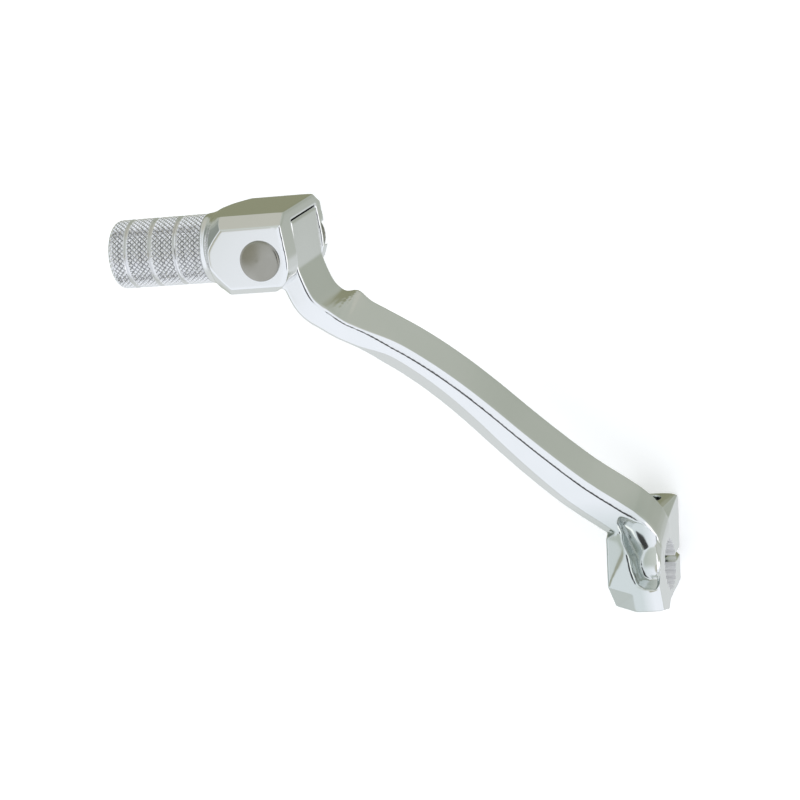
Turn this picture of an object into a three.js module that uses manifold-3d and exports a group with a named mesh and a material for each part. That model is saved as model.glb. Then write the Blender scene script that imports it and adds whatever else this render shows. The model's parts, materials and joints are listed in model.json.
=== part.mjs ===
// Folding-tip gear shift lever for a motorcycle: a forged arm clamped on a splined shift shaft, with a knurled toe
// piece that folds back about a pivot pin and is sprung back against a stop.
// Millimetres. Origin: splined bore centre, mid width of the hub. +X forward, +Y outboard (left of the machine), +Z up.
import * as THREE from "three";
import { mergeVertices } from "three/addons/utils/BufferGeometryUtils.js";
import Module from "manifold-3d";

// ---- driving dimensions ----
const REACH = 86.7; // pivot pin ahead of the shaft
const OFFSET = 71.3; // pivot pin outboard of the hub's middle
const RISE = 21.6; // toe piece above the shaft
const HUB_WIDTH = 12.5;
const HUB_R = 9.2; // hub wall around the bore
const SPLINE_TIP_R = 5.75; // tooth tips of the bore
const SPLINE_ROOT_R = 6.3;
const SPLINE_TEETH = 22;
const SLIT = 1.6; // clamp slit
const BOLT_R = 3.0; // M6 pinch bolt
const BOLT_Z = -10.6; // pinch bolt axis below the bore axis
const ARM_HEIGHT = 12.9; // arm section, across the fold plane
const ARM_DROP = 0.5; // middle of the section below the line from the shaft to the toe piece
const ARM_THICK_HUB = 10.4; // arm section thickness at the hub end
const ARM_THICK_TIP = 7.8; // and at the head end
const ARM_EDGE = 1.3; // chamfer along the inboard edges
const ARM_BEVEL = 3.0; // wide bevel along the outboard edges
const NECK_THICK = 5.4; // arm section thickness behind the head
const TONGUE_ABOVE = 6.6; // tongue between the fork ears, above the middle of the head
const TONGUE_BELOW = 10.7; // and below it
const HEAD_HALF = 14.2; // half of the head's size along the pin
const HEAD_RISE = 9.05; // half of the head's size across the pin
const HEAD_BEVEL = 2.4; // head bevels, across the pin
const HEAD_BEVEL_UP = 3.6; // and along it
const HEAD_END = 6.6; // head reaches this far inboard of the pin
const SIDE_GAP = 0.2; // running gap between tongue and each fork ear
const BARREL_R = 8.0;
const BARREL_START = 16.8; // barrel runs outboard from the pin between these
const BARREL_END = 39.9;
const GROOVES = [23.0, 29.2, 35.3];
const GROOVE_WIDTH = 1.3;
const GROOVE_DEPTH = 0.75;
const PEG_X = 1.03; // barrel axis ahead of the pin axis
const PIN_R = 4.0;
const PIN_HEAD_R = 4.65;
const PIN_FIT = 0.05; // radial running clearance
const SEAT_DEEP = 2.1; // counterbore for the washer and clip in the lower ear
const CAM_R = 6.3; // tongue radius where the plunger rests, toe straight
const CAM_LIFT = 1.2; // added radius per radian of fold
const FOLD_MAX = 70; // degrees
const PLUNGER_R = 3.0;
const SPRING_WIRE = 0.8;
const SPRING_R = 2.3; // mean coil radius
const SPRING_TURNS = 7;

const wasm = await Module();
wasm.setup();
const deg = Math.PI / 180;
const TILT = Math.atan2(RISE, REACH); // arm plane climbs from the shaft to the toe piece
const SPAN = Math.hypot(REACH, RISE);
const along = new THREE.Vector3(Math.cos(TILT), 0, Math.sin(TILT));
const up = new THREE.Vector3(0, 0, 1);
const out = new THREE.Vector3(0, 1, 0);
const armUp = new THREE.Vector3(-Math.sin(TILT), 0, Math.cos(TILT));
const PIN = new THREE.Vector3(REACH, OFFSET, RISE);

// ---- solids ----
function toManifold(geometry) {
  let g = geometry.index ? geometry.toNonIndexed() : geometry.clone();
  g.deleteAttribute("normal");
  g.deleteAttribute("uv");
  g = mergeVertices(g, 1e-4);
  return new wasm.Manifold(
    new wasm.Mesh({
      numProp: 3,
      vertProperties: new Float32Array(g.attributes.position.array),
      triVerts: new Uint32Array(g.index.array),
    }),
  );
}

function toGeometry(solid) {
  const m = solid.getMesh();
  const g = new THREE.BufferGeometry();
  const p = new Float32Array(m.numVert * 3);
  for (let i = 0; i < m.numVert; i++) {
    for (let k = 0; k < 3; k++) p[i * 3 + k] = m.vertProperties[i * m.numProp + k];
  }
  g.setAttribute("position", new THREE.BufferAttribute(p, 3));
  g.setIndex(new THREE.BufferAttribute(new Uint32Array(m.triVerts), 1));
  return g.toNonIndexed();
}

// Solid through a list of closed sections, each the same number of points, walked in one sense.
function loft(sections) {
  const n = sections[0].length;
  const p = [];
  const tri = [];
  const last = sections.length - 1;
  for (const s of sections) for (const v of s) p.push(v.x, v.y, v.z);
  for (let k = 0; k < last; k++) {
    for (let i = 0; i < n; i++) {
      const j = (i + 1) % n;
      const a = k * n + i;
      const b = k * n + j;
      tri.push(a, b, b + n, a, b + n, a + n);
    }
  }
  const middle = (s) => s.reduce((a, v) => a.add(v), new THREE.Vector3()).divideScalar(n);
  const ends = [middle(sections[0]), middle(sections[last])];
  const c = p.length / 3;
  for (const e of ends) p.push(e.x, e.y, e.z);
  for (let i = 0; i < n; i++) {
    const j = (i + 1) % n;
    tri.push(c, j, i, c + 1, last * n + i, last * n + j);
  }
  const g = new THREE.BufferGeometry();
  g.setAttribute("position", new THREE.BufferAttribute(new Float32Array(p), 3));
  g.setIndex(tri);
  let solid = toManifold(g);
  if (solid.volume() < 0) {
    for (let i = 0; i < tri.length; i += 3) [tri[i + 1], tri[i + 2]] = [tri[i + 2], tri[i + 1]];
    g.setIndex(tri);
    solid = toManifold(g);
  }
  return solid;
}

// Prism of an outline in one plane, from one height to another along the third axis.
function prismZ(points, z0, z1) {
  return loft([z0, z1].map((z) => points.map(([x, y]) => new THREE.Vector3(x, y, z))));
}
function prismY(points, y0, y1) {
  return loft([y0, y1].map((y) => points.map(([x, z]) => new THREE.Vector3(x, y, z))));
}

function arc(cx, cy, r, from, to, steps) {
  const points = [];
  for (let i = 0; i <= steps; i++) {
    const a = (from + ((to - from) * i) / steps) * deg;
    points.push([cx + r * Math.cos(a), cy + r * Math.sin(a)]);
  }
  return points;
}

const circle = (r, steps, cx = 0, cy = 0) => arc(cx, cy, r, 0, 360 - 360 / steps, steps - 1);

// Solid of revolution about the axis through `at` along `dir`; profile is [radius, distance along dir], closed on the axis.
function turned(profile, at, dir, steps) {
  const g = new THREE.LatheGeometry(
    profile.map(([r, h]) => new THREE.Vector2(r, h)),
    steps,
  );
  const q = new THREE.Quaternion().setFromUnitVectors(out, dir);
  g.applyQuaternion(q);
  g.translate(at.x, at.y, at.z);
  return toManifold(g);
}

const rod = (r, h0, h1, at, dir, steps = 40) =>
  turned([[0, h0], [r, h0], [r, h1], [0, h1]], at, dir, steps);

const smooth = (a, b, x) => {
  const k = Math.min(1, Math.max(0, (x - a) / (b - a)));
  return k * k * (3 - 2 * k);
};
const mix = (a, b, k) => a + (b - a) * k;

// ---- lever arm ----
const KNEE_X = REACH - 14.5; // the arm climbs up to here, then runs level between the fork ears
const CLIMB = Math.atan2(RISE, KNEE_X);
const HUB_HALF = HUB_WIDTH / 2;
const TONGUE_FRONT = CAM_R + 0.7; // flat front of the tongue, the stop for the toe piece
const RECESS = 0.6; // tongue sits this far inside the fork's inboard end

// Inboard face of the arm seen along its height: forward and outboard, as shares of reach and offset.
const inboardLine = new THREE.CatmullRomCurve3(
  [
    [0.03, -0.088], [0.1, -0.088], [0.172, -0.052], [0.3, 0.117], [0.389, 0.22], [0.465, 0.302], [0.543, 0.383],
    [0.616, 0.465], [0.681, 0.548], [0.738, 0.633], [0.79, 0.732], [0.827, 0.806], [0.85, 0.856], [0.86, 0.87],
    [0.872, 0.882], [0.9, 0.897], [0.95, 0.915], [1.0, 0.93],
  ].map(([x, y]) => {
    const hub = smooth(0.1, 0.3, x);
    return new THREE.Vector3(x * REACH, mix((y / 0.088) * HUB_HALF, y * OFFSET, hub), 0);
  }),
  false,
  "centripetal",
);

function armStation(k) {
  const p = inboardLine.getPoint(k);
  const t = inboardLine.getTangent(k);
  const level = smooth(KNEE_X - 1.5, KNEE_X + 1.5, p.x);
  const climb = CLIMB * (1 - level);
  p.z = Math.min(RISE, p.x * Math.tan(CLIMB));
  t.z = t.x * Math.tan(climb);
  t.normalize();
  const high = new THREE.Vector3(-Math.sin(climb), 0, Math.cos(climb));
  const thick = high.clone().cross(t).normalize();
  return { p, high, thick, x: p.x };
}

// Arm section: flat inboard face, chamfered edges, flat sides and wide outboard bevels.
function armSection({ p, high, thick, x }) {
  const k = x / REACH;
  const neck = smooth(0.74, 0.8, k);
  const depth = mix(mix(ARM_THICK_HUB, ARM_THICK_TIP, smooth(0.2, 0.8, k)), NECK_THICK, neck);
  const above = mix(ARM_HEIGHT / 2 - ARM_DROP, TONGUE_ABOVE, smooth(0.76, 0.88, k));
  const below = mix(ARM_HEIGHT / 2 + ARM_DROP, TONGUE_BELOW, smooth(0.795, 0.84, k));
  const edge = mix(ARM_EDGE, 0.5, neck);
  const bevelDeep = mix(mix(3.6, 4.6, smooth(0.25, 0.7, k)), 0.8, neck);
  const bevelHigh = mix(ARM_BEVEL, 0.8, neck);
  return [
    [0, edge - below], [edge, -below], [depth - bevelDeep, -below], [depth, bevelHigh - below],
    [depth, above - bevelHigh], [depth - bevelDeep, above], [edge, above], [0, above - edge],
  ].map(([d, h]) => p.clone().addScaledVector(thick, d).addScaledVector(high, h));
}

function makeArm() {
  const stations = [];
  for (let i = 0; i <= 68; i++) stations.push(armSection(armStation(i / 68)));
  let arm = loft(stations);

  // tongue: flat plate around the pivot pin, its end a cam that lifts the plunger as the toe folds
  const y0 = OFFSET - HEAD_END + RECESS;
  const end = [[REACH + TONGUE_FRONT, y0], [REACH + TONGUE_FRONT, OFFSET]];
  end.push(...arc(REACH, OFFSET, TONGUE_FRONT, 8, 70, 10));
  for (let a = 84; a <= 96 + FOLD_MAX; a += 4) {
    const r = CAM_R + CAM_LIFT * Math.max(0, a - 92) * deg;
    end.push([REACH + r * Math.cos(a * deg), OFFSET + r * Math.sin(a * deg)]);
  }
  end.push([REACH - 8.6, OFFSET - 1.9], [REACH - 8.6, OFFSET - 6.9], [REACH - 5, y0]);
  arm = arm.add(prismZ(end, RISE - TONGUE_BELOW, RISE + TONGUE_ABOVE));

  // hub: clamp body around the shaft with two ears astride the slit
  const inboard = [
    [12.3, -15.0], [10.6, -4.5], [7.8, 5.4], [4.2, 9.3], [-0.4, 13.4], [-7.4, 11.5], [-HUB_R, 5.6],
    [-7.6, 3.2], [-7.2, -8.3], [-7.2, -14.2], [-6.2, -15.2], [11.6, -15.9],
  ];
  const middle = [
    [12.9, -15.0], [13.3, -4], [12.8, 9.0], [9.6, 11.4], [-2.8, 12.9], [-7.7, 11.6], [-HUB_R, 5.6],
    [-7.6, 3.2], [-7.2, -8.3], [-7.2, -14.2], [-6.2, -15.2], [12.2, -15.9],
  ];
  const outboard = [
    [12.9, -15.0], [13.0, -4], [11.4, 5.5], [9.8, 9.1], [-0.9, 12.8], [-7.6, 7.2], [-8.6, 4.4],
    [-7.6, 2.4], [-7.2, -8.3], [-7.2, -14.2], [-6.2, -15.2], [12.2, -15.9],
  ];
  const level = (points, y) => points.map(([x, z]) => new THREE.Vector3(x, y, z));
  const half = inboard.map(([x, z], i) => [mix(x, middle[i][0], 0.7), mix(z, middle[i][1], 0.6)]);
  arm = arm.add(
    loft([
      level(inboard, -HUB_HALF), level(half, 1.1 - HUB_HALF), level(middle, 3 - HUB_HALF), level(middle, 0.4),
      level(outboard, HUB_HALF),
    ]),
  );

  // pocket in the near side of the hub, behind a thin inboard rim: the arm runs down into it past the bore's wall
  const rim = 0.9 - HUB_HALF;
  const bowl = [
    [22, [[16.5, 1.6], [14.4, 2.9], [9.9, 1.6], [6.6, 0.2], [2.9, 0.0], [-0.6, -0.9], [-1.9, -2.4], [-1.9, rim]]],
    [10, [[15.6, 1.9], [13.4, 3.1], [9.3, 2.0], [6.0, 0.6], [2.6, 0.2], [-0.6, -0.8], [-1.6, -2.4], [-1.7, rim]]],
    [7.6, [[14.6, 0.9], [12.6, 2.2], [8.8, 1.3], [5.4, 0.0], [2.2, -0.4], [-0.4, -1.3], [-1.2, -2.7], [-1.3, rim]]],
    [5.8, [[12.8, -1.2], [11.0, 0.3], [8.0, -0.3], [5.0, -1.4], [2.4, -1.8], [0.4, -2.4], [-0.2, -3.4], [-0.3, rim]]],
    [5.0, [[10.6, -3.2], [9.6, -2.4], [7.4, -2.4], [5.4, -3.0], [3.6, -3.3], [2.2, -3.8], [1.4, -4.4], [1.2, rim]]],
  ];
  let pocket = loft(
    bowl.map(([z, points]) => [...points, [9.6, rim], [13, -2.6]].map(([x, y]) => new THREE.Vector3(x, y, z))),
  );
  const keep = [...arc(0, 0, HUB_R - 1.6, 180, 24, 16), [13.2, 6.0], [22, 8.4], [22, -8], [-9, -8]];
  pocket = pocket.subtract(prismY(keep, -HUB_HALF - 3, HUB_HALF + 3));
  arm = arm.subtract(pocket);

  // slanted inboard corner of the clamp ears
  const corner = (x, y, z) => new THREE.Vector3(x, y, z);
  const slant = [-40, 40].map((t) => {
    const s = [corner(0, -HUB_HALF - 1, -10), corner(0, -HUB_HALF + 2.6, -16.5), corner(0, -HUB_HALF - 1, -24)];
    return s.map((v) => v.add(corner(t, 0, -0.355 * t)));
  });
  arm = arm.subtract(loft(slant));

  // splined bore, clamp slit and pinch bolt hole
  const spline = [];
  for (let i = 0; i < SPLINE_TEETH; i++) {
    const pitch = 360 / SPLINE_TEETH;
    [[0.12, SPLINE_ROOT_R], [0.42, SPLINE_ROOT_R], [0.6, SPLINE_TIP_R], [0.94, SPLINE_TIP_R]].forEach(([k, r]) => {
      const a = (i + k) * pitch * deg;
      spline.push([r * Math.cos(a), r * Math.sin(a)]);
    });
  }
  arm = arm.subtract(prismY(spline, -HUB_HALF - 1, HUB_HALF + 1));
  const slit = [[-0.6 - SLIT / 2, -3], [-0.6 - SLIT / 2, -20], [-0.6 + SLIT / 2, -20], [-0.6 + SLIT / 2, -3]];
  arm = arm.subtract(prismY(slit, -HUB_HALF - 2, HUB_HALF + 2));
  const boltAt = new THREE.Vector3(0, 0, BOLT_Z);
  const forward = new THREE.Vector3(1, 0, 0);
  arm = arm.subtract(rod(BOLT_R + 0.2, -20, 20, boltAt, forward, 32));
  arm = arm.subtract(rod(BOLT_R + 2.0, 13.4, 24, boltAt, forward, 32));

  // pivot hole through the tongue
  return arm.subtract(rod(PIN_R + PIN_FIT, -HEAD_HALF, HEAD_HALF, PIN, up, 48));
}

// ---- toe piece ----
function barrelProfile() {
  const s = [[0, BARREL_END], [BARREL_R - 1.3, BARREL_END], [BARREL_R - 0.4, BARREL_END - 0.5], [BARREL_R, BARREL_END - 1.5]];
  for (const g of [...GROOVES].reverse()) {
    s.push([BARREL_R, g + GROOVE_WIDTH / 2], [BARREL_R - GROOVE_DEPTH, g + GROOVE_WIDTH / 2 - 0.3]);
    s.push([BARREL_R - GROOVE_DEPTH, g - GROOVE_WIDTH / 2 + 0.3], [BARREL_R, g - GROOVE_WIDTH / 2]);
  }
  s.push([BARREL_R, BARREL_START], [BARREL_R - 0.15, BARREL_START - 0.1], [BARREL_R - 0.15, 0], [0, 0]);
  return s.reverse();
}

// Shoulder and head before their flats: rounds that grow taller than wide, [distance from the pin, radius, tallness].
const SHOULDER = [
  [BARREL_START - 0.3, 8.1, 1], [15.4, 8.2, 1.03], [14.4, 8.45, 1.12], [13.6, 8.8, 1.26], [12.9, 9.2, 1.42],
  [12.3, 9.75, 1.47], [11.4, 10.4, 1.43], [10.3, 11.4, 1.36], [9.1, 12.5, 1.29], [7.4, 13.7, 1.25],
  [-HEAD_END, 14.6, 1.25],
];

function makeToe() {
  const axis = new THREE.Vector3(REACH + PEG_X, OFFSET, RISE);
  const round = ([y, r, tall]) =>
    circle(r, 64).map(([x, z]) => new THREE.Vector3(axis.x + x, axis.y + y, axis.z + z * tall));
  let head = loft(SHOULDER.map(round));

  // flats and bevels of the head, as the section across the barrel axis
  const top = HEAD_HALF - HEAD_BEVEL_UP;
  const lower = 1.8;
  const section = [
    [HEAD_RISE, top], [HEAD_RISE - HEAD_BEVEL, HEAD_HALF], [lower - HEAD_RISE, HEAD_HALF], [-HEAD_RISE, top],
    [-HEAD_RISE, -top], [lower - HEAD_RISE, -HEAD_HALF], [HEAD_RISE - HEAD_BEVEL, -HEAD_HALF], [HEAD_RISE, -top],
  ].map(([x, z]) => [x + axis.x, z + axis.z]);
  head = head.intersect(prismY(section, axis.y - 30, axis.y + 80));

  // inboard end, a little slanted, and the rounded rear corner that swings clear of the arm
  const y0 = OFFSET - HEAD_END;
  const x0 = axis.x - HEAD_RISE;
  const end = [
    [axis.x + 20, y0 - 9], [axis.x + 20, y0 + 1.6], [REACH + 10.1, y0 + 0.8], [REACH + 7.4, y0 + 0.6],
    [REACH - 0.2, y0 + 0.02], [REACH - 2.9, y0 + 0.2], [REACH - 5.4, y0 + 1.2], [REACH - 6.6, y0 + 2.5],
    [x0 - 0.2, y0 + 5.4], [x0 - 2, y0 + 5.4], [x0 - 2, y0 - 9],
  ];
  head = head.subtract(prismZ(end, RISE - 20, RISE + 20));
  let toe = head.add(turned(barrelProfile(), axis, out, 64));

  // fork slot for the tongue: closed in front by the web that is the stop, open to the rear
  const web = REACH + TONGUE_FRONT + 0.3;
  const back = OFFSET + CAM_R + CAM_LIFT * FOLD_MAX * deg + 0.7;
  const slot = [
    [web, y0 - 2], [web, back], [REACH - 2.5, back], [REACH - 9.5, back + 5.6], [REACH - 14, back + 5.6],
    [REACH - 14, y0 - 2],
  ];
  toe = toe.subtract(prismZ(slot, RISE - TONGUE_BELOW - SIDE_GAP, RISE + TONGUE_ABOVE + SIDE_GAP));

  // pin hole, plunger bore and the threaded end for the spring plug
  toe = toe.subtract(rod(PIN_R + PIN_FIT, -HEAD_HALF - 1, HEAD_HALF + 1, PIN, up, 48));
  toe = toe.subtract(rod(PIN_R + 2.8, -HEAD_HALF - 1, SEAT_DEEP - HEAD_HALF, PIN, up, 48));
  toe = toe.subtract(rod(PLUNGER_R + 0.05, 0, BARREL_END + 1, axis, out, 36));
  return toe.subtract(rod(PLUG_R + 0.02, BARREL_END - PLUG_LENGTH - 0.5, BARREL_END + 1, axis, out, 36));
}

// ---- pivot pin and its retainers ----
function makePin() {
  const h = HEAD_HALF - SEAT_DEEP; // lower retainers seat here
  const top = HEAD_HALF;
  const face = top + 0.7;
  const s = [
    [0, -h - 2.4], [PIN_R - 0.4, -h - 2.4], [PIN_R, -h - 2.1], [PIN_R, -h - 1.75], [PIN_R - 0.6, -h - 1.75],
    [PIN_R - 0.6, -h - 0.95], [PIN_R, -h - 0.95], [PIN_R, top + 0.05], [PIN_HEAD_R, top + 0.05],
    [PIN_HEAD_R, face - 0.55], [PIN_HEAD_R - 0.5, face], [0, face + 0.35],
  ];
  return turned(s, PIN, up, 48);
}

function ring(inner, outer, h0, h1, at, dir, steps) {
  return rod(outer, h0, h1, at, dir, steps).subtract(rod(inner, h0 - 1, h1 + 1, at, dir, steps));
}

const SEAT = HEAD_HALF - SEAT_DEEP; // washer and clip sit on the floor of the counterbore

const makeWasher = () =>
  ring(PIN_R + 0.15, PIN_R + 2.6, -SEAT - 0.85, -SEAT - 0.1, PIN, up, 40);

function makeClip() {
  let clip = ring(PIN_R - 0.5, PIN_R + 1.5, -SEAT - 1.7, -SEAT - 1.0, PIN, up, 40);
  const gap = [[0, 0], [8, -3.2], [8, 3.2]].map(([x, y]) => [x + REACH, y + OFFSET]);
  return clip.subtract(prismZ(gap, RISE - 22, RISE));
}

// ---- sprung plunger in the barrel ----
const PLUG_R = 3.5;
const PLUG_LENGTH = 6;
const PLUNGER_BACK = CAM_R + 11.5;

function makePlunger() {
  const axis = new THREE.Vector3(REACH + PEG_X, OFFSET, RISE);
  const nose = CAM_R + 0.3;
  const r = PLUNGER_R;
  const s = [[0, nose], [r * 0.55, nose + 0.25], [r * 0.86, nose + 0.9], [r, nose + 2.0], [r, PLUNGER_BACK - 4.5]];
  s.push([r - 0.9, PLUNGER_BACK - 4.1], [1.2, PLUNGER_BACK - 4.1], [1.2, PLUNGER_BACK], [0, PLUNGER_BACK]);
  return turned(s, axis, out, 36);
}

function makePlug() {
  const axis = new THREE.Vector3(REACH + PEG_X, OFFSET, RISE);
  const y0 = BARREL_END - PLUG_LENGTH;
  const y1 = BARREL_END - 0.4;
  const s = [[0, y0], [PLUG_R - 0.5, y0], [PLUG_R, y0 + 0.5], [PLUG_R, y1 - 0.4], [PLUG_R - 0.4, y1], [0, y1]];
  const hex = circle(1.75, 6, axis.x, axis.z);
  return turned(s, axis, out, 36).subtract(prismY(hex, axis.y + y1 - 2.6, axis.y + y1 + 1));
}

class Helix extends THREE.Curve {
  constructor(radius, y0, y1, turns) {
    super();
    Object.assign(this, { radius, y0, y1, turns });
  }
  getPoint(k) {
    const a = k * this.turns * 2 * Math.PI;
    return new THREE.Vector3(this.radius * Math.cos(a), mix(this.y0, this.y1, k), this.radius * Math.sin(a));
  }
}

function makeSpring() {
  const y0 = PLUNGER_BACK - 4.1 + SPRING_WIRE / 2 + 0.15;
  const y1 = BARREL_END - PLUG_LENGTH - SPRING_WIRE / 2 - 0.15;
  const path = new Helix(SPRING_R, y0, y1, SPRING_TURNS);
  const wire = circle(SPRING_WIRE / 2, 8);
  const sections = [];
  const steps = SPRING_TURNS * 20;
  for (let i = 0; i <= steps; i++) {
    const k = i / steps;
    const p = path.getPoint(k);
    const t = path.getTangent(k);
    const side = new THREE.Vector3(p.x, 0, p.z).normalize();
    const other = t.clone().cross(side).normalize();
    sections.push(wire.map(([a, b]) => p.clone().addScaledVector(side, a).addScaledVector(other, b)));
  }
  return loft(sections).translate([REACH + PEG_X, OFFSET, RISE]);
}

// ---- assembly ----
const aluminium = { color: 0xc9ccd1, metalness: 1, roughness: 0.22 };
const steel = { color: 0x7d7f78, metalness: 1, roughness: 0.35 };

const pieces = {
  lever_arm: [makeArm, aluminium],
  toe_piece: [makeToe, aluminium],
  pivot_pin: [makePin, steel],
  pin_washer: [makeWasher, steel],
  pin_circlip: [makeClip, steel],
  detent_plunger: [makePlunger, steel],
  detent_spring: [makeSpring, steel],
  spring_plug: [makePlug, steel],
};

const lever = new THREE.Group();
lever.name = "gear_shift_lever";
for (const [name, [make, look]] of Object.entries(pieces)) {
  const mesh = new THREE.Mesh(toGeometry(make()), new THREE.MeshStandardMaterial(look));
  mesh.name = name;
  lever.add(mesh);
}
export default lever;
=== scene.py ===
import json
import math
import bmesh
import bpy
from mathutils import Matrix, Vector


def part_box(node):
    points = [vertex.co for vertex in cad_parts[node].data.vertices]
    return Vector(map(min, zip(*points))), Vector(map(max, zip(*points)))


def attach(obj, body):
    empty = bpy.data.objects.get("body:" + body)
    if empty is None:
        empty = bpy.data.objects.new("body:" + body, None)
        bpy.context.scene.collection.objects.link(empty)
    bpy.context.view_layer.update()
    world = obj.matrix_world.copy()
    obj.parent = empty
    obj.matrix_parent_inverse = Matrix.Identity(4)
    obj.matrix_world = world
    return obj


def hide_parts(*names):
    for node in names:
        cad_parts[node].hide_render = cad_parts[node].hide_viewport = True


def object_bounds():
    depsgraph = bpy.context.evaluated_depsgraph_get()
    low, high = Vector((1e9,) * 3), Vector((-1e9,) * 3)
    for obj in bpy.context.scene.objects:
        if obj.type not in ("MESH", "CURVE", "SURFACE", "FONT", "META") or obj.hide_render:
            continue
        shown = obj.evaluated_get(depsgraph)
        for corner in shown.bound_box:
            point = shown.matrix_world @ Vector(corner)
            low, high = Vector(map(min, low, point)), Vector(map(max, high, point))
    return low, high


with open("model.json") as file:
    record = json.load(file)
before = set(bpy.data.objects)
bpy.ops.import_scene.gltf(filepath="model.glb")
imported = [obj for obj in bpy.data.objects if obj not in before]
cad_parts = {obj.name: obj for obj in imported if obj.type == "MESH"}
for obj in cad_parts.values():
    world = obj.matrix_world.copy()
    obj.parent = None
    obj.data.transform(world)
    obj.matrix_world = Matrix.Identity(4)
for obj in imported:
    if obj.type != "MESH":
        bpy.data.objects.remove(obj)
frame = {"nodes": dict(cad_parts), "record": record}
cad_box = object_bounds()
MM = 0.001
collection = bpy.context.scene.collection

# ---- places taken from the CAD ----
fold = next(j for j in frame["record"]["behaviour"]["joints"] if j["name"] == "toe_fold")
PIN = Vector(fold["pos_m"])
toe_low, toe_high = (Vector(c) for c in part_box("toe_piece"))
pin_low, pin_high = (Vector(c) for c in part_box("pivot_pin"))
plug_low, plug_high = (Vector(c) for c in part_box("spring_plug"))
# a point of the barrel's axis, level with the pin
PEG = Vector(((plug_low.x + plug_high.x) / 2, PIN.y, (plug_low.z + plug_high.z) / 2))

# ---- sizes repeated from the CAD, so they don't follow it; those without MM are in mm ----
BARREL_R = 8.0 * MM
BARREL_START = PEG.y + 16.8 * MM
BARREL_END = toe_high.y
GROOVES = [PEG.y + y * MM for y in (23.0, 29.2, 35.3)]
PLUG_BORE_R = 3.52 * MM
PLUG_BORE_DEEP = 6.3 * MM
SPLINE_TEETH = 22
SPLINE_ROOT_R = 6.3
SPLINE_TIP_R = 5.75
HUB_HALF = 6.25
SLIT_SIDES = (-1.4, 0.2)
SLIT_ENDS = (-3, -24)
BOLT_HOLE_R = 3.2
BOLT_HOLE_Z = -10.6
PAST_HUB = 12
PAST_ARM = 24

# ---- sizes that only the visual mesh has ----
GROOVE_HALF = 0.5 * MM  # narrower and shallower than the CAD's grooves
GROOVE_DEEP = 0.6 * MM
KNURL_STARTS = 40
KNURL_DEEP = 0.42 * MM
POINTS_PER_START = 10
ROW_STEP = 0.12 * MM
ROUND_END = 1.5 * MM
END_FACE_R = 6.4 * MM
BORE_BEVEL = 0.35 * MM
BORE_FILL_R = 6.8
BORE_FACES_R = 6.4
FILL_SINK = 0.05


def smooth(a, b, x):
    k = min(1.0, max(0.0, (x - a) / (b - a)))
    return k * k * (3 - 2 * k)


def new_object(name, mesh, body):
    piece = bpy.data.objects.new(name, mesh)
    collection.objects.link(piece)
    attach(piece, body)
    return piece


# ---- materials ----
def shader(name, color, rough, metallic=1.0):
    m = bpy.data.materials.new(name)
    m.use_nodes = True
    b = m.node_tree.nodes["Principled BSDF"]
    b.inputs["Base Color"].default_value = (*color, 1)
    b.inputs["Roughness"].default_value = rough
    b.inputs["Metallic"].default_value = metallic
    return m, m.node_tree, b


def noise(tree, scale, detail=3.0, stretch=(1, 1, 1)):
    at = tree.nodes.new("ShaderNodeTexCoord")
    place = tree.nodes.new("ShaderNodeMapping")
    place.inputs["Scale"].default_value = stretch
    n = tree.nodes.new("ShaderNodeTexNoise")
    n.inputs["Scale"].default_value = scale
    n.inputs["Detail"].default_value = detail
    tree.links.new(at.outputs["Object"], place.inputs["Vector"])
    tree.links.new(place.outputs["Vector"], n.inputs["Vector"])
    return n.outputs["Fac"]


def spread(tree, fac, low, high, lo_value, hi_value):
    r = tree.nodes.new("ShaderNodeMapRange")
    for key, v in (("From Min", low), ("From Max", high), ("To Min", lo_value), ("To Max", hi_value)):
        r.inputs[key].default_value = v
    tree.links.new(fac, r.inputs["Value"])
    return r.outputs["Result"]


def bump(tree, b, height, distance, strength):
    n = tree.nodes.new("ShaderNodeBump")
    n.inputs["Distance"].default_value = distance
    n.inputs["Strength"].default_value = strength
    tree.links.new(height, n.inputs["Height"])
    tree.links.new(n.outputs["Normal"], b.inputs["Normal"])


def tint(tree, b, fac, low, high, dark, light):
    ramp = tree.nodes.new("ShaderNodeValToRGB")
    ramp.color_ramp.elements[0].position = low
    ramp.color_ramp.elements[1].position = high
    ramp.color_ramp.elements[0].color = (*dark, 1)
    ramp.color_ramp.elements[1].color = (*light, 1)
    tree.links.new(fac, ramp.inputs["Fac"])
    tree.links.new(ramp.outputs["Color"], b.inputs["Base Color"])


def polished(name, light, dark, rough, painted_shade=None):
    """Polished metal. The last argument is (x range, y range, shade), in metres: the part that takes a greyer
    colour as painted shade.
    """
    m, tree, b = shader(name, light, rough)
    broad = noise(tree, 60.0, 4.0)
    fine = noise(tree, 900.0, 2.0, (1, 0.25, 1))
    tint(tree, b, broad, 0.35, 0.65, dark, light)
    tree.links.new(spread(tree, broad, 0.3, 0.7, rough - 0.035, rough + 0.045), b.inputs["Roughness"])
    bump(tree, b, fine, 0.00001, 0.12)
    if painted_shade is not None:
        (x0, x1), (y0, y1), shade = painted_shade
        at = tree.nodes.new("ShaderNodeTexCoord")
        split = tree.nodes.new("ShaderNodeSeparateXYZ")
        tree.links.new(at.outputs["Object"], split.inputs["Vector"])
        near = tree.nodes.new("ShaderNodeMath")
        near.operation = "MULTIPLY"
        tree.links.new(spread(tree, split.outputs["X"], x0, x1, 1.0, 0.0), near.inputs[0])
        tree.links.new(spread(tree, split.outputs["Y"], y0, y1, 0.0, 1.0), near.inputs[1])
        mix = tree.nodes.new("ShaderNodeMix")
        mix.data_type = "RGBA"
        mix.inputs["B"].default_value = (*shade, 1)
        tree.links.new(near.outputs["Value"], mix.inputs["Factor"])
        tree.links.new(b.inputs["Base Color"].links[0].from_socket, mix.inputs["A"])
        tree.links.new(mix.outputs["Result"], b.inputs["Base Color"])
    return m


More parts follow.
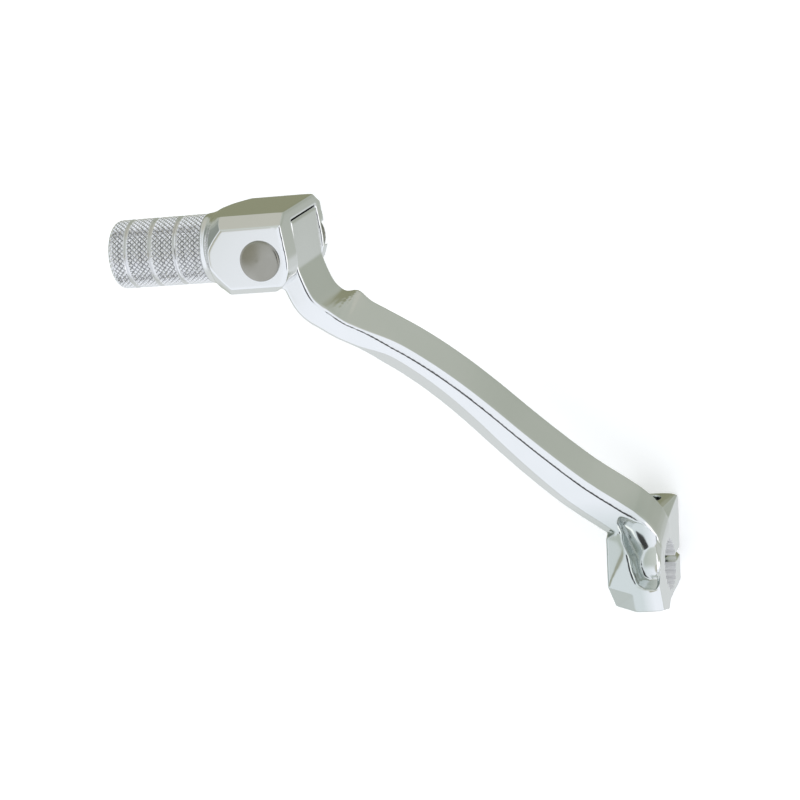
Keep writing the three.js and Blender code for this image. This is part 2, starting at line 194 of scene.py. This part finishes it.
# a greyer shade near the hub stands in for the photograph's lighting
PAINTED_SHADE_NEAR_HUB = ((0.012, 0.02), (-0.0045, -0.0015), (0.62, 0.66, 0.64))
aluminium = polished("polished_aluminium", (0.84, 0.845, 0.85), (0.81, 0.82, 0.82), 0.13)
forged_metal_painted_shade = polished("forged_aluminium_painted_shade", (0.84, 0.845, 0.85), (0.81, 0.82, 0.82), 0.13, PAINTED_SHADE_NEAR_HUB)
# the bore's metal: rougher for the machined walls, and darker as painted shade in the bore
bore_metal_painted_shade = polished("machined_bore_painted_shade", (0.46, 0.47, 0.46), (0.24, 0.25, 0.24), 0.28)
# darker metal for the faces deep in the knurl's pits: painted shade in the pits
pit_painted_shade, _, _ = shader("knurl_pits_painted_shade", (0.34, 0.34, 0.35), 0.3)
knurl_metal = polished("knurled_aluminium", (0.86, 0.86, 0.87), (0.8, 0.8, 0.8), 0.16)
pin_metal = polished("pin_steel", (0.42, 0.41, 0.37), (0.3, 0.29, 0.25), 0.22)
clip_metal = polished("spring_steel", (0.3, 0.3, 0.31), (0.22, 0.22, 0.23), 0.3)


# ---- forged pieces: the CAD shape with its edges rounded as forging and polishing leave them ----
def baked(piece):
    """Gives the piece the mesh that its modifiers make, and returns that mesh."""
    made = bpy.data.meshes.new_from_object(piece.evaluated_get(bpy.context.evaluated_depsgraph_get()))
    piece.modifiers.clear()
    piece.vertex_groups.clear()
    piece.data = made
    return made


def joined(piece, tool, operation):
    step = piece.modifiers.new("join", "BOOLEAN")
    step.operation = operation
    step.solver = "MANIFOLD"
    step.object = tool
    baked(piece)
    bpy.data.objects.remove(tool)


def prism(outline, axis, low, high):
    """Closed prism of an outline, in mm, standing on the plane across the axis (0 x, 1 y)."""
    bm = bmesh.new()
    ends = []
    for h in (low, high):
        ends.append([bm.verts.new(Vector((h, a, b) if axis == 0 else (a, h, b)) * MM) for a, b in outline])
    n = len(outline)
    for i in range(n):
        bm.faces.new((ends[0][i], ends[0][(i + 1) % n], ends[1][(i + 1) % n], ends[1][i]))
    bm.faces.new(ends[0])
    bm.faces.new(list(reversed(ends[1])))
    bmesh.ops.recalc_face_normals(bm, faces=bm.faces[:])
    mesh = bpy.data.meshes.new("tool")
    bm.to_mesh(mesh)
    bm.free()
    tool = bpy.data.objects.new("tool", mesh)
    collection.objects.link(tool)
    return tool


def round_outline(radius, a=0.0, b=0.0, steps=64):
    turns = [i / steps * 2 * math.pi for i in range(steps)]
    return [(a + radius * math.cos(t), b + radius * math.sin(t)) for t in turns]


def spline_outline():
    points = []
    for i in range(SPLINE_TEETH):
        for k, radius in ((0.12, SPLINE_ROOT_R), (0.42, SPLINE_ROOT_R),
                          (0.6, SPLINE_TIP_R), (0.94, SPLINE_TIP_R)):
            t = (i + k) / SPLINE_TEETH * 2 * math.pi
            points.append((radius * math.cos(t), radius * math.sin(t)))
    return points


def softened(name, node, body, voxel, rounds, softness, cut=None, fill=None):
    """The node's mesh, remeshed and smoothed: rounds[k] passes, each vertex by as much as softness[k] says.
    cut drops what lies beyond that point along y. fill is a solid joined on first."""
    source = frame["nodes"][node]
    mesh = source.data.copy()
    mesh.name = name
    mesh.materials.clear()
    piece = bpy.data.objects.new(name, mesh)
    collection.objects.link(piece)
    bm = bmesh.new()
    bm.from_mesh(mesh)
    bmesh.ops.remove_doubles(bm, verts=bm.verts, dist=1e-6)
    if cut is not None:
        faces = bm.verts[:] + bm.edges[:] + bm.faces[:]
        done = bmesh.ops.bisect_plane(bm, geom=faces, plane_co=cut, plane_no=(0, 1, 0), clear_outer=True)
        rim = [e for e in done["geom_cut"] if isinstance(e, bmesh.types.BMEdge)]
        bmesh.ops.holes_fill(bm, edges=rim, sides=0)
    bm.to_mesh(mesh)
    bm.free()
    if fill is not None:
        joined(piece, fill, "UNION")
    step = piece.modifiers.new("remesh", "REMESH")
    step.mode = "VOXEL"
    step.voxel_size = voxel
    step.use_smooth_shade = True
    fine = baked(piece)
    fine.name = name
    for part, (amount, times) in enumerate(zip(softness, rounds)):
        group = piece.vertex_groups.new(name="soft%d" % part)
        for v in fine.vertices:
            group.add([v.index], amount(v.co), "REPLACE")
        step = piece.modifiers.new("smooth", "SMOOTH")
        step.factor = 0.5
        step.iterations = times
        step.vertex_group = group.name
    even = baked(piece)
    even.name = name
    for poly in even.polygons:
        poly.use_smooth = True
    even.materials.clear()
    # the arm takes the metal with the painted greyer shade near the hub
    even.materials.append(forged_metal_painted_shade if body == "lever_arm" else aluminium)
    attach(piece, body)
    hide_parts(node)
    return piece


def arm_softness(p):
    """Whole arm, but little at the pin's hole."""
    return 0.15 if math.hypot(p.x - PIN.x, p.y - PIN.y) < 4.6 * MM else 1.0


def pocket_softness(p):
    """The spoon-shaped pocket in the hub, clear of the bore."""
    x, y, z = p.x / MM, p.y / MM, p.z / MM
    inside = smooth(-1.5, 0.5, x) * smooth(17, 14, x) * smooth(3.2, 4.6, z)
    inside = inside * smooth(-5.6, -4.9, y) * smooth(5.0, 2.6, y)
    return inside if math.hypot(x, z) > 7.2 else 0.0


def knee_softness(p):
    """The bend of the arm beside the head."""
    x, y = (p.x - PIN.x) / MM, (p.y - PIN.y) / MM
    return smooth(-22, -18, x) * smooth(-8.8, -10.6, x) * smooth(-24, -20, y)


arm = softened("lever_arm_forging", "lever_arm", "lever_arm", 0.25 * MM, [8, 45, 6],
               [arm_softness, pocket_softness, knee_softness],
               fill=prism(round_outline(BORE_FILL_R), 1, FILL_SINK - HUB_HALF, HUB_HALF - FILL_SINK))
# the bore was filled before smoothing; it, the slit and the bolt hole are cut again here, so they stay crisp
slit = [(SLIT_SIDES[0], SLIT_ENDS[0]), (SLIT_SIDES[1], SLIT_ENDS[0]),
        (SLIT_SIDES[1], SLIT_ENDS[1]), (SLIT_SIDES[0], SLIT_ENDS[1])]
joined(arm, prism(spline_outline(), 1, -PAST_HUB, PAST_HUB), "DIFFERENCE")
joined(arm, prism(slit, 1, -PAST_HUB, PAST_HUB), "DIFFERENCE")
joined(arm, prism(round_outline(BOLT_HOLE_R, 0, BOLT_HOLE_Z), 0, -PAST_ARM, PAST_ARM), "DIFFERENCE")
# the bore's walls take the darker bore metal, which is painted shade in the bore
arm.data.materials.append(bore_metal_painted_shade)
for poly in arm.data.polygons:
    poly.use_smooth = True
    if math.hypot(poly.center.x, poly.center.z) < BORE_FACES_R * MM and abs(poly.normal.y) < 0.5:
        poly.material_index = 1
arm.data.set_sharp_from_angle(angle=math.radians(38))


def head_softness(p):
    """Whole toe piece, but little at the pin's hole."""
    return 0.2 if math.hypot(p.x - PIN.x, p.y - PIN.y) < 4.5 * MM else 0.8


def end_softness(p):
    """The side of the head that faces the arm."""
    return smooth(PIN.y - 3.6 * MM, PIN.y - 5.0 * MM, p.y)


softened("toe_head", "toe_piece", "toe", 0.22 * MM, [4, 22], [head_softness, end_softness],
         Vector((0, BARREL_START + 0.1 * MM, 0)))


# ---- knurled barrel: crossed helical V cuts, grooves between bands, rounded end, bored for the plug only ----
def barrel_radius(y, turn):
    """Radius of the barrel at y and at a share of a whole turn."""
    end = BARREL_END - y
    for g in GROOVES:
        if abs(y - g) < GROOVE_HALF:
            return BARREL_R - GROOVE_DEEP * smooth(GROOVE_HALF, GROOVE_HALF * 0.15, abs(y - g))
    edge = min(min(abs(y - g) for g in GROOVES) - GROOVE_HALF, y - BARREL_START)
    r = BARREL_R
    if end < ROUND_END:
        r -= ROUND_END - math.sqrt(max(0.0, ROUND_END**2 - (ROUND_END - end) ** 2))
    pitch = 2 * math.pi * BARREL_R / KNURL_STARTS
    a = (turn * KNURL_STARTS + y / pitch) % 1.0
    b = (turn * KNURL_STARTS - y / pitch) % 1.0
    height = min(abs(a - 0.5), abs(b - 0.5)) * 2
    fade = smooth(0.0, 0.1 * MM, edge) * smooth(0.3 * MM, 1.1 * MM, end)
    bevel = (0.08 * MM) * (1 - smooth(0, 0.12 * MM, edge))
    return r - KNURL_DEEP * fade * (1 - min(1.0, height * 1.35)) - bevel


def make_barrel():
    around = KNURL_STARTS * POINTS_PER_START
    rows = []
    y = BARREL_START
    while y < BARREL_END - 0.02 * MM:
        rows.append(y)
        y += ROW_STEP
    rows.append(BARREL_END - 0.005 * MM)
    bm = bmesh.new()
    rings = []
    for y in rows:
        ring = []
        for i in range(around):
            turn = i / around
            r = barrel_radius(y, turn)
            a = turn * 2 * math.pi
            ring.append(bm.verts.new((PEG.x + r * math.cos(a), y, PEG.z + r * math.sin(a))))
        rings.append(ring)
    for r, y in ((END_FACE_R, BARREL_END), (PLUG_BORE_R + BORE_BEVEL, BARREL_END),
                 (PLUG_BORE_R, BARREL_END - BORE_BEVEL), (PLUG_BORE_R, BARREL_END - PLUG_BORE_DEEP)):
        ring = []
        for i in range(around):
            a = i / around * 2 * math.pi
            ring.append(bm.verts.new((PEG.x + r * math.cos(a), y, PEG.z + r * math.sin(a))))
        rings.append(ring)
    for low, high in zip(rings, rings[1:]):
        for i in range(around):
            j = (i + 1) % around
            bm.faces.new((low[i], high[i], high[j], low[j]))
    bm.faces.new(rings[0])
    bm.faces.new(list(reversed(rings[-1])))
    bmesh.ops.recalc_face_normals(bm, faces=bm.faces[:])
    mesh = bpy.data.meshes.new("toe_barrel")
    bm.to_mesh(mesh)
    bm.free()
    mesh.materials.append(knurl_metal)
    mesh.materials.append(pit_painted_shade)
    # faces deep in the knurl's pits take the darker metal: painted shade
    for poly in mesh.polygons:
        depth = BARREL_R - math.hypot(poly.center.x - PEG.x, poly.center.z - PEG.z)
        on_band = min(abs(poly.center.y - g) for g in GROOVES) > GROOVE_HALF + 0.15 * MM
        in_pit = KNURL_DEEP * 0.78 < depth < KNURL_DEEP * 1.05
        if on_band and poly.center.y < BARREL_END - 1.2 * MM and in_pit:
            poly.material_index = 1
    new_object("toe_barrel", mesh, "toe")


make_barrel()


# ---- turned pieces ----
def turned(name, profile, at, direction, body, metal, around=96, shade=35):
    """Turned solid. profile is (radius, distance along direction from at), in mm, from axis to axis."""
    d = Vector(direction)
    side = d.orthogonal().normalized()
    other = d.cross(side)
    bm = bmesh.new()
    rings = []
    for r, h in profile:
        middle = Vector(at) + d * (h * MM)
        if r <= 0:
            rings.append([bm.verts.new(middle)])
            continue
        ring = []
        for i in range(around):
            a = i / around * 2 * math.pi
            ring.append(bm.verts.new(middle + (side * math.cos(a) + other * math.sin(a)) * (r * MM)))
        rings.append(ring)
    for low, high in zip(rings, rings[1:]):
        for i in range(around):
            j = (i + 1) % around
            if len(low) == 1:
                bm.faces.new((low[0], high[i], high[j]))
            elif len(high) == 1:
                bm.faces.new((low[i], high[0], low[j]))
            else:
                bm.faces.new((low[i], high[i], high[j], low[j]))
    bmesh.ops.recalc_face_normals(bm, faces=bm.faces[:])
    for f in bm.faces:
        f.smooth = True
    for e in bm.edges:
        e.smooth = e.calc_face_angle(0) < math.radians(shade)
    mesh = bpy.data.meshes.new(name)
    bm.to_mesh(mesh)
    bm.free()
    mesh.materials.append(metal)
    return new_object(name, mesh, body)


def pin_profile():
    """Pin with a clip groove below and a domed head on top."""
    top = (pin_high.z - PIN.z) / MM
    bottom = (pin_low.z - PIN.z) / MM
    s = [(0, bottom), (3.3, bottom), (3.75, bottom + 0.15), (4.0, bottom + 0.45)]
    s += [(4.0, bottom + 0.85), (3.4, bottom + 0.9), (3.4, bottom + 1.6), (4.0, bottom + 1.65)]
    s += [(4.0, top - 1.4)]
    s += [(4.62, top - 1.35), (4.65, top - 0.75), (4.5, top - 0.5), (4.3, top - 0.42)]
    s += [(r, top - 0.02 - 0.38 * (r / 4.2) ** 2) for r in (4.0, 3.6, 3.1, 2.5, 1.8, 1.0, 0.4)] + [(0, top)]
    return s


pin = turned("pivot_pin_turned", pin_profile(), PIN, (0, 0, 1), "toe", pin_metal)
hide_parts("pivot_pin")

for name, metal in (("pin_washer", pin_metal), ("pin_circlip", clip_metal), ("detent_plunger", pin_metal),
                    ("detent_spring", clip_metal), ("spring_plug", clip_metal)):
    node = frame["nodes"][name]
    for k in range(len(node.material_slots)):
        node.material_slots[k].link = "OBJECT"
        node.material_slots[k].material = metal

# ---- floor: it glows a little and isn't reflected in the metal ----
FLOOR_HALF = 4.0
FLOOR_GAP = 0.0002
floor_z = cad_box[0][2] - FLOOR_GAP
mesh = bpy.data.meshes.new("floor")
corners = [(x * FLOOR_HALF, y * FLOOR_HALF, floor_z) for x, y in ((-1, -1), (1, -1), (1, 1), (-1, 1))]
mesh.from_pydata(corners, [], [(0, 1, 2, 3)])
floor = bpy.data.objects.new("floor", mesh)
collection.objects.link(floor)
floor_look, _, floor_shader = shader("floor_white", (0.93, 0.93, 0.93), 0.7, 0.0)
floor_shader.inputs["Emission Color"].default_value = (1, 1, 1, 1)
floor_shader.inputs["Emission Strength"].default_value = 0.35
mesh.materials.append(floor_look)
floor.visible_glossy = False

# ---- camera at the photograph's angle: its place, turn and lens were fitted to points measured there ----
RIGHT = (-0.13042, -0.94900, -0.28703)
UP = (0.96107, -0.04987, -0.27178)
BACK = (0.24361, -0.31130, 0.91856)
PLACE = (0.192779, -0.135957, 0.563392)
SENSOR_MM = 36
LENS_MM = 115.48
NEAR_CLIP = 0.01
cam_data = bpy.data.cameras.new("camera")
cam = bpy.data.objects.new("camera", cam_data)
collection.objects.link(cam)
cam.matrix_world = Matrix((*zip(RIGHT, UP, BACK, PLACE), (0, 0, 0, 1)))
cam_data.sensor_width = SENSOR_MM
cam_data.lens = LENS_MM
cam_data.clip_start = NEAR_CLIP
bpy.context.scene.camera = cam

# ---- light tent: a white shell with coloured and dark panels, placed where the main faces reflect them ----
SHELL_WHITE = (1.0, 1.04, 1.1, 1)
# direction, cosine at the outer edge, cosine where it is full, colour
PANELS = [
    ((0, 0, -1), -0.1, 0.45, (0.5, 0.53, 0.47)),
    ((-0.5, -0.25, -0.83), 0.72, 0.97, (0.72, 0.75, 0.75)),
    ((-0.85, 0.45, -0.3), 0.75, 0.92, (0.75, 0.78, 0.78)),
    ((0.2, 0.3, -0.93), 0.86, 0.93, (0.29, 0.3, 0.2)),
    ((0.15, -0.4, -0.9), 0.9, 0.99, (0.43, 0.46, 0.4)),
    ((1, 0.2, -0.05), 0.6, 0.9, (0.6, 0.6, 0.53)),
    ((0.1, 0.97, -0.2), 0.85, 0.95, (0.3, 0.33, 0.3)),
    ((0.6, 0.4, 0.7), 0.75, 0.95, (0.66, 0.7, 0.66)),
    ((0.02, 0.56, 0.83), 0.95, 0.985, (0.5, 0.5, 0.42)),
    ((0.0, -0.45, 0.89), 0.935, 0.965, (0.06, 0.06, 0.06)),
    ((-0.12, -0.98, 0.08), 0.9, 0.95, (1.5, 1.5, 1.5)),
]
world = bpy.data.worlds.new("light_tent")
bpy.context.scene.world = world
world.use_nodes = True
tree = world.node_tree
sky = tree.nodes["Background"]
sky.inputs["Strength"].default_value = 1.0
looking = tree.nodes.new("ShaderNodeTexCoord").outputs["Generated"]


def panel(shell, direction, outer, inner, color):
    """The shell's colour so far (None: plain white) with one more soft-edged round panel over it."""
    dot = tree.nodes.new("ShaderNodeVectorMath")
    dot.operation = "DOT_PRODUCT"
    dot.inputs[1].default_value = Vector(direction).normalized()
    tree.links.new(looking, dot.inputs[0])
    edge = tree.nodes.new("ShaderNodeMapRange")
    edge.interpolation_type = "SMOOTHSTEP"
    edge.inputs["From Min"].default_value = outer
    edge.inputs["From Max"].default_value = inner
    tree.links.new(dot.outputs["Value"], edge.inputs["Value"])
    mix = tree.nodes.new("ShaderNodeMix")
    mix.data_type = "RGBA"
    tree.links.new(edge.outputs["Result"], mix.inputs["Factor"])
    if shell is None:
        mix.inputs["A"].default_value = SHELL_WHITE
    else:
        tree.links.new(shell, mix.inputs["A"])
    mix.inputs["B"].default_value = (*color, 1)
    return mix.outputs["Result"]


shell = None
for direction, outer, inner, color in PANELS:
    shell = panel(shell, direction, outer, inner, color)
tree.links.new(shell, sky.inputs["Color"])

bpy.context.scene.view_settings.view_transform = "Standard"
bpy.context.scene.view_settings.look = "None"
bpy.context.scene.view_settings.exposure = 0.0
